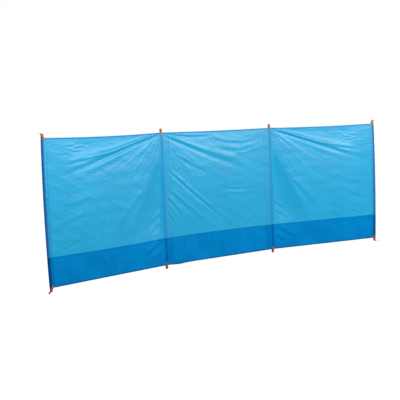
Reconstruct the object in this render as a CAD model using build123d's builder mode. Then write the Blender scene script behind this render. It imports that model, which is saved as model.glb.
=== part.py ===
from build123d import *
import os
from math import cos, hypot, radians, sin, sqrt, tan

# Beach windbreak: one long cloth skin on four slim poles, standing in three equal bays.
# X runs along the row, Y goes back from the side that the user looks at, Z is up.
# The origin is on the flat end of the first pole's foot pin, on the ground.
# Lengths are in millimetres and angles in degrees.

# Overall size
row_length = 4000.0
overall_height = 1400.0
bay_count = 3
bay_turn = 10.0

# Cloth
top_reach = 45.0
bottom_reach = 45.0
skirt_height = 270.0
cloth_thickness = 1.0
hem_height = 12.0
hem_thickness = 1.0
bay_sags = [11.0, 5.0, 9.0]
end_bow = 12.0
seam_gap = 0.3

# Poles and their metal ends
pole_diameter = 9.5
pole_bore = 5.5
pole_clearance = 0.3
tube_count = 4
end_overrun = 20.0
pin_diameter = 5.0
pin_reach = 8.0
pin_fit = 0.3
pin_chamfer = 0.8
collar_height = 3.0
spigot_length = 6.0
spigot_fit = 0.35

# Sleeves that hold the poles
end_sleeve_width = 38.0
end_sleeve_lap = 12.0
inner_sleeve_short = 18.0
inner_sleeve_long = 85.0
sleeve_bend = 4.0
sleeve_root_bend = 2.0
mouth_margin = 8.0
corner_cut_width = 26.0
corner_cut_height = 16.0
corner_margin = 5.0
sleeve_spread = 3.0

# Webbing tabs, their eyelets and the loose tails of the two end ones
strap_width = 20.0
strap_thickness = 1.6
strap_bend = 1.2
strap_ease = 0.2
tab_sewn = 17.0
tab_point = 8.0
tab_lean = 16.0
eyelet_flange_diameter = 9.8
eyelet_flange = 0.5
eyelet_wall = 0.5
eyelet_gap = 0.3
tail_width = 15.0
tail_run = 34.0
tail_swing = 40.0

# Steel rings, stamped from plate
ring_diameter = 36.0
ring_width = 3.5
ring_plate = 3.0
ring_fit = 0.3
peg_ring_depth = 20.0

# Derived sizes
bay_length = row_length / bay_count
cloth_top = overall_height - top_reach
cloth_bottom = bottom_reach
seam_level = cloth_bottom + skirt_height
middle_level = overall_height / 2
pole_radius = pole_diameter / 2
skin_back = pole_radius + pole_clearance + hem_thickness
skin_front = skin_back + cloth_thickness
sleeve_inside = pole_radius + pole_clearance
sleeve_outside = sleeve_inside + cloth_thickness
shoulder_level = pin_reach + strap_thickness + eyelet_flange
pole_start = shoulder_level + collar_height
bow_half_span = overall_height / 2 - pole_start
bow_radius = (bow_half_span**2 + end_bow**2) / (2 * end_bow)
half_turn_slope = tan(radians(bay_turn / 2))
ring_bore_radius = ring_diameter / 2 - ring_width
ring_offset = ring_bore_radius - pin_diameter / 2 - ring_fit
loop_inner = hypot(ring_width, ring_plate) / 2 + ring_fit
loop_outer = loop_inner + strap_thickness

headings = [bay_turn * ((bay_count - 1) / 2 - number) for number in range(bay_count)]


def along(heading):
    return Vector(cos(radians(heading)), sin(radians(heading)), 0)


def backward(heading):
    return Vector(-sin(radians(heading)), cos(radians(heading)), 0)


# Each pole stands where two bays meet, or at an end of the row
pole_places = [Vector(0, 0, 0)]
for heading in headings:
    pole_places.append(pole_places[-1] + along(heading) * bay_length)


def bay_plane(bay, back=0.0):
    """The bay's upright plane: x along the bay from its left pole, y up, normal to the front."""
    heading = headings[bay]
    corner = pole_places[bay] + backward(heading) * back
    return Plane(origin=corner, x_dir=along(heading), z_dir=-backward(heading))


def end_frame(side):
    """Ground point of an end pole, the way into its bay and the way back."""
    if side < 0:
        return pole_places[0], along(headings[0]), backward(headings[0])
    return pole_places[-1], -along(headings[-1]), backward(headings[-1])


def bow_at(level, inset):
    """Distance into the bay, from the straight line between a pole's ends, of a bowed line."""
    return bow_radius - end_bow - sqrt((bow_radius - inset) ** 2 - (level - middle_level) ** 2)


def bowed_path(side, low, high):
    """The bowed axis of an end pole between two levels, in one arc for each length of tube."""
    ground, inward, back = end_frame(side)
    step = (high - low) / (2 * tube_count)
    levels = [low + step * number for number in range(2 * tube_count + 1)]
    if side > 0:
        levels.reverse()
    spots = [ground + inward * bow_at(level, 0) + Vector(0, 0, level) for level in levels]
    with BuildLine() as path:
        for number in range(tube_count):
            ThreePointArc(spots[2 * number], spots[2 * number + 1], spots[2 * number + 2])
    return path.line


def section_plane(side, path):
    """Section at the start of a bowed path: x into the bay, y back."""
    ground, inward, back = end_frame(side)
    return Plane(origin=path @ 0, x_dir=inward, z_dir=path % 0)


def trim(low, high):
    """Cuts the part that is being built off level at two heights."""
    split(bisect_by=Plane.XY.offset(low), keep=Keep.TOP)
    split(bisect_by=Plane.XY.offset(high), keep=Keep.BOTTOM)


def band(points, radii, thickness):
    """Outline of a folded strip, in the open line builder: its points run along the inner face
    and its thickness lies to their left."""
    points = [Vector(*point) for point in points]
    ways = [(after - before).normalized() for before, after in zip(points, points[1:])]
    lefts = [Vector(-way.Y, way.X) for way in ways]
    outer = [points[0] + lefts[0] * thickness]
    outer_radii = []
    for corner, radius, first, second in zip(points[1:-1], radii, lefts, lefts[1:]):
        outer.append(corner + (first + second) * (thickness / (1 + first.dot(second))))
        turns_left = first.cross(second).Z > 0
        outer_radii.append(radius - thickness if turns_left else radius + thickness)
    outer.append(points[-1] + lefts[-1] * thickness)
    FilletPolyline(*points, radius=radii)
    FilletPolyline(*outer, radius=outer_radii)
    Line(points[0], outer[0])
    Line(points[-1], outer[-1])


def finish(part, name):
    part.label = name
    export_step(part, f"parts/{name}.step")


os.makedirs("parts", exist_ok=True)
pole_count = bay_count + 1
path_low = pole_start - end_overrun
path_high = overall_height - pole_start + end_overrun

# Poles: glass fibre tubes, the two end ones bowed outward by the pull of the cloth
for number, place in enumerate(pole_places):
    if number in (0, pole_count - 1):
        side = -1 if number == 0 else 1
        axis_path = bowed_path(side, path_low, path_high)
        with BuildPart() as pole:
            with BuildSketch(section_plane(side, axis_path)):
                Circle(pole_radius)
                Circle(pole_bore / 2, mode=Mode.SUBTRACT)
            sweep(path=axis_path)
            trim(pole_start, overall_height - pole_start)
    else:
        with BuildPart() as pole:
            with BuildSketch(Plane(origin=place + Vector(0, 0, pole_start))):
                Circle(pole_radius)
                Circle(pole_bore / 2, mode=Mode.SUBTRACT)
            extrude(amount=overall_height - 2 * pole_start)
    finish(pole.part, f"pole_{number + 1}")

# Pole ends: a spigot in the bore, a collar on the tube and a pin through the webbing
for number, place in enumerate(pole_places):
    for is_top in (False, True):
        sign = -1 if is_top else 1
        base = place + Vector(0, 0, overall_height if is_top else 0)
        spigot_radius = pole_bore / 2 - spigot_fit
        with BuildPart() as pole_end:
            with BuildSketch(Plane(origin=base, z_dir=(0, 0, sign))):
                Circle(pin_diameter / 2)
            extrude(amount=shoulder_level)
            chamfer(pole_end.edges().group_by(Axis.Z)[-1 if is_top else 0], pin_chamfer)
            with BuildSketch(Plane(origin=base + Vector(0, 0, sign * shoulder_level), z_dir=(0, 0, sign))):
                Circle(pole_radius)
            extrude(amount=collar_height)
            with BuildSketch(Plane(origin=base + Vector(0, 0, sign * pole_start), z_dir=(0, 0, sign))):
                Circle(spigot_radius)
            extrude(amount=spigot_length)
        finish(pole_end.part, f"pole_tip_{number + 1}" if is_top else f"pole_foot_{number + 1}")


def cloth_outline(bay, bottom, top, bottom_sag=0.0, top_sag=0.0, extra_inset=0.0):
    """Face of one bay's cloth between two levels, each edge straight or sagging in an arc."""
    mitre = skin_front * half_turn_slope
    inset = end_sleeve_width + seam_gap + extra_inset
    middle = (bottom + top) / 2

    def left(level):
        return bow_at(level, inset) if bay == 0 else mitre

    def right(level):
        return bay_length - (bow_at(level, inset) if bay == bay_count - 1 else mitre)

    with BuildSketch(bay_plane(bay, -skin_back)) as face:
        with BuildLine():
            for side in (left, right):
                if side(middle) == side(top):
                    Line((side(bottom), bottom), (side(top), top))
                else:
                    ThreePointArc((side(bottom), bottom), (side(middle), middle), (side(top), top))
            for level, sag in ((bottom, bottom_sag), (top, top_sag)):
                if sag:
                    crest = (left(level) + right(level)) / 2
                    ThreePointArc((left(level), level), (crest, level - sag), (right(level), level))
                else:
                    Line((left(level), level), (right(level), level))
        make_face()
    return face.sketch


# Cloth: an upper panel and a dark skirt in every bay, joined along a level seam
for bay in range(bay_count):
    front = -backward(headings[bay])
    with BuildPart() as panel:
        outline = cloth_outline(bay, seam_level, cloth_top, top_sag=bay_sags[bay])
        extrude(outline, amount=cloth_thickness, dir=front)
    finish(panel.part, f"panel_{bay + 1}")

    with BuildPart() as skirt:
        extrude(cloth_outline(bay, cloth_bottom, seam_level), amount=cloth_thickness, dir=front)
    finish(skirt.part, f"skirt_{bay + 1}")

    # Hems: strips turned back behind the top and the bottom edge
    with BuildPart() as top_hem:
        sag = bay_sags[bay]
        outline = cloth_outline(bay, cloth_top - hem_height, cloth_top, sag, sag, end_sleeve_lap)
        extrude(outline, amount=hem_thickness, dir=-front)
    finish(top_hem.part, f"top_hem_{bay + 1}")

    with BuildPart() as bottom_hem:
        outline = cloth_outline(bay, cloth_bottom, cloth_bottom + hem_height, 0, 0, end_sleeve_lap)
        extrude(outline, amount=hem_thickness, dir=-front)
    finish(bottom_hem.part, f"bottom_hem_{bay + 1}")

# End sleeves: the cloth folded round the bowed pole and sewn down behind itself
for number, side in ((0, -1), (pole_count - 1, 1)):
    ground, inward, back = end_frame(side)
    axis_path = bowed_path(side, path_low, path_high)
    with BuildPart() as sleeve:
        with BuildSketch(section_plane(side, axis_path)):
            with BuildLine():
                fold = [
                    (end_sleeve_width, -skin_back),
                    (-sleeve_inside, -skin_back),
                    (-sleeve_inside, sleeve_inside),
                    (pole_diameter, sleeve_inside),
                    (end_sleeve_width + cloth_thickness, -skin_back),
                    (end_sleeve_width + end_sleeve_lap, -skin_back),
                ]
                band(fold, [sleeve_bend] * 4, cloth_thickness)
            make_face()
        sweep(path=axis_path)
        trim(cloth_bottom, cloth_top)
        # The top corner is cut back on the slant, where the pole comes out
        with BuildSketch(Plane(origin=ground, x_dir=inward, z_dir=inward.cross(Vector(0, 0, 1)))):
            with BuildLine():
                Polyline(
                    (-2 * pole_diameter, cloth_top + corner_margin),
                    (corner_cut_width, cloth_top + corner_margin),
                    (corner_cut_width, cloth_top),
                    (-sleeve_outside, cloth_top - corner_cut_height),
                    (-2 * pole_diameter, cloth_top - corner_cut_height),
                    close=True,
                )
            make_face()
        extrude(amount=2 * sleeve_outside, both=True, mode=Mode.SUBTRACT)
    finish(sleeve.part, f"sleeve_{number + 1}")


def plan_point(place, heading, run, back):
    """Point beside a pole in plan: so far along a heading and so far back from it."""
    spot = place + along(heading) * run + backward(heading) * back
    return (spot.X, spot.Y)


# Inner sleeves: a strip behind the cloth, arched over the pole, its wide flange to the middle
for number in range(1, pole_count - 1):
    place = pole_places[number]
    left, right = headings[number - 1], headings[number]
    mean = (left + right) / 2
    wide_on_right = number < pole_count / 2
    left_flange = inner_sleeve_short if wide_on_right else inner_sleeve_long
    right_flange = inner_sleeve_long if wide_on_right else inner_sleeve_short
    root = sleeve_inside + sleeve_spread
    low = cloth_bottom + hem_height + mouth_margin
    high = cloth_top - hem_height - mouth_margin
    with BuildPart() as sleeve:
        with BuildSketch(Plane.XY.offset(low)):
            with BuildLine():
                arch = [
                    plan_point(place, left, -left_flange, -skin_back),
                    plan_point(place, left, -root, -skin_back),
                    plan_point(place, mean, -sleeve_inside, sleeve_inside),
                    plan_point(place, mean, sleeve_inside, sleeve_inside),
                    plan_point(place, right, root, -skin_back),
                    plan_point(place, right, right_flange, -skin_back),
                ]
                bends = [sleeve_root_bend, sleeve_bend, sleeve_bend, sleeve_root_bend]
                band(arch, bends, cloth_thickness)
            make_face()
        extrude(amount=high - low)
    finish(sleeve.part, f"sleeve_{number + 1}")


def strap_channel(number, bay, reach, is_top):
    """Webbing folded over a pole's end, run along one bay and stopped at the mitre of two."""
    place = pole_places[number]
    heading = headings[bay]
    crown = overall_height - pin_reach - strap_thickness if is_top else pin_reach + strap_thickness
    end = cloth_top - tab_sewn - tab_point if is_top else cloth_bottom + tab_sewn + tab_point
    profile = [
        (-skin_front, end),
        (-skin_front, crown),
        (sleeve_outside + strap_ease, crown),
        (sleeve_outside + strap_ease, end),
    ]
    if not is_top:
        profile.reverse()
    with BuildPart() as channel:
        with BuildSketch(Plane(origin=place, x_dir=backward(heading), z_dir=along(heading))):
            with BuildLine():
                band(profile, [strap_bend] * 2, strap_thickness)
            make_face()
        extrude(amount=reach, both=True)
        if 0 < number < pole_count - 1:
            mean = (headings[number - 1] + headings[number]) / 2
            mitre = Plane(origin=place, z_dir=along(mean))
            split(bisect_by=mitre, keep=Keep.TOP if bay == number else Keep.BOTTOM)
    return channel.part


def strap_tab(number, is_top):
    """A whole tab: both halves of the folded webbing, cut to its outline and holed."""
    place = pole_places[number]
    bays = [bay for bay in (number - 1, number) if 0 <= bay < bay_count]
    mean = sum(headings[bay] for bay in bays) / len(bays)
    lean = 0.0
    if number == 0:
        lean = tab_lean
    elif number == pole_count - 1:
        lean = -tab_lean
    tip_level = overall_height if is_top else 0.0
    edge_level = cloth_top if is_top else cloth_bottom
    inward = -1 if is_top else 1
    sewn_level = edge_level + inward * tab_sewn
    lean_slope = lean / abs(tip_level - edge_level)
    sewn_shift = lean_slope * abs(tip_level - sewn_level)
    half = strap_width / 2
    with BuildPart() as tab:
        for bay in bays:
            add(strap_channel(number, bay, strap_width + 2 * abs(sewn_shift), is_top))
        with BuildSketch(Plane(origin=place, x_dir=along(mean), z_dir=-backward(mean))):
            with BuildLine():
                Polyline(
                    (-half, tip_level),
                    (half, tip_level),
                    (sewn_shift + half, sewn_level),
                    (sewn_shift, sewn_level + inward * tab_point),
                    (sewn_shift - half, sewn_level),
                    close=True,
                )
            make_face()
        extrude(amount=2 * skin_front + strap_width, both=True, mode=Mode.INTERSECT)
        if not is_top and len(bays) == 1:
            add(strap_tail(number))
        hole_radius = pin_diameter / 2 + pin_fit + eyelet_wall + eyelet_gap
        with Locations(place + Vector(0, 0, tip_level)):
            Cylinder(hole_radius, 2 * (shoulder_level + strap_thickness), mode=Mode.SUBTRACT)
    return tab.part


def tail_frame(number):
    """Upright plane through an end pole, x along the tail that leads out from its foot."""
    side = -1 if number == 0 else 1
    ground, inward, back = end_frame(side)
    swing = radians(tail_swing)
    out = -inward * cos(swing) - back * sin(swing)
    return Plane(origin=ground, x_dir=out, z_dir=out.cross(Vector(0, 0, 1)))


def strap_tail(number):
    """The tail: webbing that leaves the crown, drops and loops round the bar of a ring."""
    with BuildPart() as tail:
        with BuildSketch(tail_frame(number)):
            with BuildLine():
                landing = 2 * loop_outer - strap_thickness
                drop = [
                    (0, pin_reach),
                    (tail_run / 2, pin_reach),
                    (tail_run - strap_thickness, landing),
                    (tail_run, landing),
                ]
                band(drop, [2 * strap_thickness] * 2, strap_thickness)
            make_face()
            with Locations((tail_run, loop_outer)):
                Circle(loop_outer)
                Circle(loop_inner, mode=Mode.SUBTRACT)
        extrude(amount=tail_width / 2, both=True)
    return tail.part


# Tabs: webbing over both ends of every pole, sewn to the cloth, with a tail at the end feet
for number in range(pole_count):
    finish(strap_tab(number, True), f"top_tab_{number + 1}")
    finish(strap_tab(number, False), f"bottom_tab_{number + 1}")

# Eyelets: a brass barrel through each tab's crown with a flange on both faces
for is_top in (True, False):
    sign = -1 if is_top else 1
    base_level = overall_height if is_top else 0.0
    bore = pin_diameter / 2 + pin_fit
    with BuildPart() as eyelets:
        for place in pole_places:
            outer_face = place + Vector(0, 0, base_level + sign * (pin_reach - eyelet_flange))
            with BuildSketch(Plane(origin=outer_face, z_dir=(0, 0, sign))):
                Circle(eyelet_flange_diameter / 2)
            extrude(amount=eyelet_flange)
            inner_face = outer_face + Vector(0, 0, sign * (eyelet_flange + strap_thickness))
            with BuildSketch(Plane(origin=inner_face, z_dir=(0, 0, sign))):
                Circle(eyelet_flange_diameter / 2)
            extrude(amount=eyelet_flange)
            with BuildSketch(Plane(origin=outer_face, z_dir=(0, 0, sign))):
                Circle(bore + eyelet_wall)
            extrude(amount=strap_thickness + 2 * eyelet_flange)
            with BuildSketch(Plane(origin=outer_face, z_dir=(0, 0, sign))):
                Circle(bore)
            extrude(amount=strap_thickness + 2 * eyelet_flange, mode=Mode.SUBTRACT)
    finish(eyelets.part, "top_eyelets" if is_top else "bottom_eyelets")

# Rings: a round one lies on each end crown over the pin, a half-round one hangs in each tail
for number, side in ((0, -1), (pole_count - 1, 1)):
    ground, inward, back = end_frame(side)
    ring_seat = Vector(0, 0, overall_height - pin_reach + eyelet_flange)
    with BuildPart() as guy_ring:
        with BuildSketch(Plane(origin=ground - inward * ring_offset + ring_seat)):
            Circle(ring_diameter / 2)
            Circle(ring_bore_radius, mode=Mode.SUBTRACT)
        extrude(amount=ring_plate)
    finish(guy_ring.part, f"guy_ring_{number + 1}")

    frame = tail_frame(number)
    bar_centre = ground + frame.x_dir * tail_run + Vector(0, 0, loop_outer)
    half_bar = tail_width / 2 + ring_fit + ring_width
    with BuildPart() as peg_ring:
        with BuildSketch(Plane(origin=bar_centre, x_dir=frame.x_dir, z_dir=(0, 0, 1))):
            with BuildLine():
                Line((-ring_width / 2, -half_bar), (-ring_width / 2, half_bar))
                Line((-ring_width / 2, half_bar), (ring_width / 2, half_bar))
                ThreePointArc((ring_width / 2, half_bar), (peg_ring_depth, 0), (ring_width / 2, -half_bar))
                Line((ring_width / 2, -half_bar), (-ring_width / 2, -half_bar))
            make_face()
            offset(amount=-ring_width, mode=Mode.SUBTRACT)
        extrude(amount=ring_plate / 2, both=True)
    finish(peg_ring.part, f"peg_ring_{number + 1}")
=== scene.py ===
import math

import bpy
import numpy as np
from mathutils import Matrix, Vector


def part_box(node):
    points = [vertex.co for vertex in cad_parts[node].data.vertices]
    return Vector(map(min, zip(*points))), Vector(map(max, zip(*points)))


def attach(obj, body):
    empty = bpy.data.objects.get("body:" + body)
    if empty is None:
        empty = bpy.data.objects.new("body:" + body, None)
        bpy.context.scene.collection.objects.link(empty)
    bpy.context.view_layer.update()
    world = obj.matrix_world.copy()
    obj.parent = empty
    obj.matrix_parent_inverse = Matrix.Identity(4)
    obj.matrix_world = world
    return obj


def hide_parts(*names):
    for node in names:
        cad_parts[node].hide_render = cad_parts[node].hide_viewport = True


# Beach windbreak: cloth, webbing, stitching and finishes over the fixed frame.
# Lengths are in metres: s runs along a bay from its left pole, z is up, lift is off the cloth's front.

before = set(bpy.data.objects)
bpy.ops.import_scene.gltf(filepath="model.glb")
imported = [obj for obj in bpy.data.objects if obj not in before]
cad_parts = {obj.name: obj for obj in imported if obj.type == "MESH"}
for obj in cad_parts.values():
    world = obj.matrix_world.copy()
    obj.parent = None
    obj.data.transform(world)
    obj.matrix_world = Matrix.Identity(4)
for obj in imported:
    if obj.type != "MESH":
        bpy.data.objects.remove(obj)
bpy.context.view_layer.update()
pole_count = 4
bay_count = pole_count - 1
end_poles = (0, pole_count - 1)
inner_poles = range(1, pole_count - 1)


def foot_of(number):
    """Ground point under a pole's foot."""
    low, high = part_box(f"pole_foot_{number}")
    return np.array([(low.x + high.x) / 2, (low.y + high.y) / 2, 0.0])


# Sizes that the frame gives
pole_spots = [foot_of(number + 1) for number in range(pole_count)]
bay_length = float(np.linalg.norm(pole_spots[1] - pole_spots[0]))
overall_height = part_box("pole_tip_1")[1].z
cloth_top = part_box("panel_1")[1].z
cloth_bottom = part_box("skirt_1")[0].z
seam_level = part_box("skirt_1")[1].z
pole_radius = (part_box("pole_2")[1].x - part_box("pole_2")[0].x) / 2
pole_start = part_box("pole_2")[0].z
end_bow = -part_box("pole_1")[0].x - pole_radius
skin_front = pole_spots[1][1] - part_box("panel_2")[0].y

# Cloth
top_sags = (0.011, 0.005, 0.009)
seam_sags = (0.006, -0.008, 0.0)
foot_dip = 0.006
foot_dip_at = 0.14
foot_dip_width = 0.09
seam_lap = 0.010
hem_height = 0.012
hem_roll = 0.0009
hem_lift = 0.0005
hem_step = 0.0004
hem_tuck = 0.0003
layer_gap = 0.0008
end_sleeve_width = 0.038
end_sleeve_lap = 0.012
front_leg_lap = 0.001
front_leg_ease = 0.02
corner_cut_width = 0.026
corner_cut_height = 0.016
corner_cut_most = 1.23
sleeve_wrap = 0.0057
inner_sleeve_short = 0.018
inner_sleeve_long = 0.085
inner_sleeve_root = 0.0095
strip_drop = 1.6 * layer_gap
arch_overrun = 0.15 * math.pi
arch_gap = 0.0002
mouth_margin = 0.008

# Painted shade and painted light on the cloth: shade over the poles and the end sleeves' hems, light over
# the strips and beside the end poles
pole_line = 0.0150
inner_pole_painted_shade = 0.56
strip_painted_light = 0.12
strip_fade = (0.004, 0.002)
end_band_starts = (0.012, 0.020)
end_band_ends = (0.033, 0.042)
end_band_narrowing = 0.010
end_band_share = 0.65
end_core = (0.002, 0.014)
edge_light = 0.6
edge_light_at = 0.031
edge_light_width = 0.005
edge_light_levels = (0.70, 1.10)
hem_painted_shade = 0.6
hem_blur = 0.0005

# Webbing
strap_width = 0.020
strap_thickness = 0.0016
strap_bend = 0.0022
strap_selvedge = 0.14
strap_rib_height = 0.00006
strap_rib_count = 10
bend_ease = 0.002
pin_reach = 0.008
strap_back = 0.00625
tab_sewn = 0.017
tab_point = 0.008
tab_tip_share = 0.12
tab_lean = 0.016
hole_radius = 0.0036
hole_sides = 32
drill_height = 0.02
tail_width = 0.015
tail_run = 0.034
tail_hump = [(0.0065, 0.0), (0.016, 0.006), (0.028, 0.004)]
tail_bend = 0.006
tail_gap = 0.0001
tail_swing = math.radians(40)
loop_end = -1.2 * math.pi
ring_width = 0.0035
ring_plate = 0.003
ring_fit = 0.0003

# Thread
stitch_pitch = 0.0048
stitch_length = 0.0034
stitch_width = 0.0009
stitch_height = 0.0004
stitch_shoulder = 0.28
first_stitch = 0.001
thread_gap = 0.0001
hem_row = 0.010
seam_rows = (0.0022, 0.0078)
sleeve_row_inset = 0.0025
sleeve_row_margin = 0.002
pole_row = 0.0115
box_pitch = 0.0028
box_length = 0.0021
box_reach = 0.0065
box_edge = 0.0025

# Mesh density
cloth_step = 0.0055
ribbon_step = 0.004
strap_step = 0.0009
tail_step = 0.0008
level_points = 600
upright_points = 500
box_points = 40
front_points = 20
turn_points = 15
back_points = 19
lap_points = 6
arch_points = 19
roll_points = 7
corner_points = 13
section_points = 21
loop_points = 40

# Fine textures: their scales and the heights of their relief
mottle_scale = 3.5
streak_scales = (6, 160, 1)
streak_share = 0.3
cloth_weave = 180.0
cloth_relief = 0.0002
webbing_ribs = 130.0
webbing_picks = 160.0
webbing_relief = 0.0003
metal_relief = 0.0001


def unit(vector):
    """A vector's direction."""
    return vector / np.linalg.norm(vector)


# Frame of every bay
bay_ways = [unit(b - a) for a, b in zip(pole_spots, pole_spots[1:])]
bay_fronts = [np.array([way[1], -way[0], 0.0]) for way in bay_ways]
up = np.array([0.0, 0.0, 1.0])
half_turn_slope = math.tan(math.acos(float(bay_ways[0] @ bay_ways[1])) / 2)
bow_half_span = overall_height / 2 - pole_start
bow_radius = (bow_half_span**2 + end_bow**2) / (2 * end_bow)


def smooth(x, low, high):
    """Smooth step from 0 at low to 1 at high."""
    t = np.clip((x - low) / (high - low), 0.0, 1.0)
    return t * t * (3 - 2 * t)


def bow_at(level, inset):
    """Distance into the bay, from the straight line between an end pole's ends, of a bowed line."""
    return bow_radius - end_bow - np.sqrt((bow_radius - inset) ** 2 - (level - overall_height / 2) ** 2)


# Creases: three control points along the line, as (s, height above the cloth's bottom edge), the
# depth of the fold and its width at each end, in millimetres. The cloth falls back below a line
# that is listed from right to left.
END_BAY_CREASES = [
    ([(1310, 1300), (779, 1152), (80, 962)], 6.6, (9, 26)),
    ([(700, 1150), (450, 1100), (150, 1065)], 3.0, (14, 20)),
    ([(1290, 1295), (760, 1060), (180, 890)], 1.6, (14, 34)),
    ([(1080, 760), (880, 560), (640, 300)], 2.3, (22, 40)),
    ([(1309, 523), (1210, 470), (1106, 399)], 1.6, (12, 16)),
    ([(1300, 430), (1200, 380), (1110, 300)], 1.4, (12, 16)),
    ([(422, 572), (430, 525), (441, 478)], 1.4, (8, 8)),
    ([(591, 565), (590, 500), (588, 438)], 1.6, (8, 9)),
    ([(663, 568), (664, 510), (665, 452)], 1.4, (8, 8)),
    ([(400, 615), (260, 560), (90, 520)], 1.8, (18, 26)),
    ([(480, 760), (330, 700), (120, 680)], 1.4, (20, 28)),
    ([(1254, 240), (1150, 170), (1051, 113)], 3.6, (16, 20)),
    ([(1300, 160), (1220, 100), (1142, 51)], 3.2, (16, 20)),
    ([(780, 260), (740, 160), (700, 50)], 1.8, (18, 22)),
    ([(420, 245), (400, 150), (380, 50)], 1.5, (18, 22)),
    ([(1320, 1305), (1130, 1150), (960, 1050)], 0.6, (7, 16)),
    ([(1320, 1300), (1180, 1090), (1060, 960)], 0.6, (7, 16)),
    ([(1322, 1290), (1230, 1080), (1130, 890)], 0.5, (7, 16)),
    ([(330, 1240), (270, 1224), (215, 1236)], 1.2, (8, 8)),
    ([(430, 1222), (360, 1202), (290, 1212)], 1.3, (8, 9)),
    ([(390, 1182), (330, 1172), (250, 1192)], 1.1, (9, 9)),
    ([(520, 1252), (450, 1236), (390, 1246)], 0.9, (8, 9)),
    ([(250, 1165), (180, 1150), (110, 1168)], 0.9, (9, 10)),
    ([(330, 390), (230, 360), (150, 310)], 1.8, (14, 16)),
    ([(560, 380), (500, 320), (470, 280)], 1.8, (14, 16)),
]
MIDDLE_BAY_CREASES = [
    ([(1104, 900), (560, 1060), (17, 1290)], 4.2, (40, 9)),
    ([(560, 885), (330, 970), (160, 1085)], 1.5, (18, 12)),
    ([(870, 290), (420, 605), (60, 950)], 3.0, (15, 12)),
    ([(1255, 1240), (940, 1110), (580, 1248)], 1.2, (14, 16)),
    ([(1275, 1203), (980, 1035), (660, 1140)], 1.3, (16, 20)),
    ([(1255, 1128), (1090, 1045), (860, 1065)], 1.0, (16, 20)),
    ([(1140, 712), (950, 675), (740, 720)], 1.3, (13, 16)),
    ([(1150, 660), (960, 622), (770, 665)], 1.0, (13, 16)),
    ([(260, 410), (152, 550), (28, 685)], 2.7, (14, 10)),
    ([(150, 340), (95, 430), (35, 540)], 2.4, (12, 9)),
    ([(640, 290), (330, 480), (60, 750)], 2.2, (20, 16)),
    ([(1285, 500), (1268, 410), (1240, 300)], 2.7, (9, 12)),
    ([(1120, 460), (1040, 360), (980, 290)], 2.1, (18, 20)),
    ([(700, 1270), (330, 1245), (60, 1295)], 2.2, (14, 8)),
    ([(330, 250), (300, 150), (240, 50)], 1.8, (18, 22)),
    ([(900, 260), (880, 160), (850, 50)], 1.5, (18, 22)),
]
END_BAY_MIRROR_DROP = 0.045

# Facets: the line's control points as above, the slope with which the cloth falls back on the
# left-hand side of the way along the line, and the width of that slope at each end, in millimetres
END_BAY_FACETS = [
    ([(1305, 1090), (1110, 775), (860, 260)], 0.27, (130, 155)),
    ([(250, 1075), (800, 1170), (1290, 1300)], 0.10, (90, 25)),
]
facet_edge = 14.0
facet_return = 1.6
facet_return_at = 1.3

# Share of a line over which its fold grows at the start and dies out at the end
END_BAY_FADES = (0.12, 0.5)
MIDDLE_BAY_FADES = (0.6, 0.12)
FACET_FADES = (0.2, 0.3)
crease_steps = 48

# Broad forms: the wind's belly, the fine folds that fan out of a pole's top (their rates, phase,
# far and near reach), a dip in the middle bay's lower left corner, and what holds all of them
# down at the poles and the edges
belly_depth = 0.012
belly_power = 0.8
low_hollow = 1.6
fan_depth = 0.0008
fan_minor = 0.6
fan_root = 1e-6
END_BAY_FAN = ((34, 57), 1, 0.9, 0.3)
MIDDLE_BAY_FAN = ((29, 47), 2, 0.8, 0.25)
corner_dip = 0.010
corner_dip_at = 0.15
corner_dip_width = 0.08
corner_dip_levels = (0.04, 0.16)
pole_hold = 0.055
top_hold = 0.07
bottom_hold = 0.05
edge_share = 0.45

# Ripples: height, first seed, wave length, direction, spread of the directions, number of waves
broad_ripple = (0.0005, 11, 0.12, 1.4, 0.5, 14)
fine_ripple = (0.00022, 31, 0.035, 1.2, 1.2, 22)
skirt_ripple = (0.0010, 51, 0.08, 0.1, 0.35, 14)
skirt_ripple_rise = 0.05
end_sleeve_ripple = (0.0007, 71, 0.05, math.pi / 2, 0.5, 14)
inner_sleeve_ripple = (0.0004, 91, 0.06, math.pi / 2, 0.4, 14)
arch_ripple_radius = 0.006

# Gathers along the level seams: level, wave length, drift of their spacing, reach
GATHERS = [
    (seam_level, 0.021, 9, 0.018),
    (cloth_top, 0.018, 7, 0.02),
    (cloth_bottom, 0.023, 8, 0.02),
]
gather_height = 0.00035
ridge_height = 0.0009
ridge_width = 0.006
ridge_wave = 2 * math.pi * 0.006
ridge_drift = 11
ridge_unevenness = 0.4


def crease_field(s, z, points, widths, fades):
    """Distance from a curved line, in widths and positive on its left; the width; and the fade."""
    steps = np.linspace(0, 1, crease_steps + 1)[:, None]
    p0, p1, p2 = (np.array(point) / 1000 for point in points)
    line = (1 - steps) ** 2 * p0 + 2 * steps * (1 - steps) * p1 + steps**2 * p2
    best = np.full(s.shape, np.inf)
    side = np.zeros(s.shape)
    place = np.zeros(s.shape)
    for number, (a, b) in enumerate(zip(line, line[1:])):
        way = b - a
        length = math.hypot(*way)
        way = way / length
        ds, dz = s - a[0], z - a[1]
        run = np.clip(ds * way[0] + dz * way[1], 0, length)
        gap = np.hypot(ds - run * way[0], dz - run * way[1])
        nearer = gap < best
        best = np.where(nearer, gap, best)
        side = np.where(nearer, way[0] * dz - way[1] * ds, side)
        place = np.where(nearer, (number + run / length) / crease_steps, place)
    width = (widths[0] + (widths[1] - widths[0]) * place) / 1000
    fade = smooth(place, 0.0, fades[0]) * smooth(1 - place, 0.0, fades[1])
    return np.sign(side) * best / width, width, fade


def crease_fold(s, z, points, depth, widths, fades):
    """Height of one crease: a ridge on the line's right that falls steeply into a valley on its left."""
    reach, _, fade = crease_field(s, z, points, widths, fades)
    return -depth / 1000 * fade * reach * np.exp(0.5 - reach**2 / 2)


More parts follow.
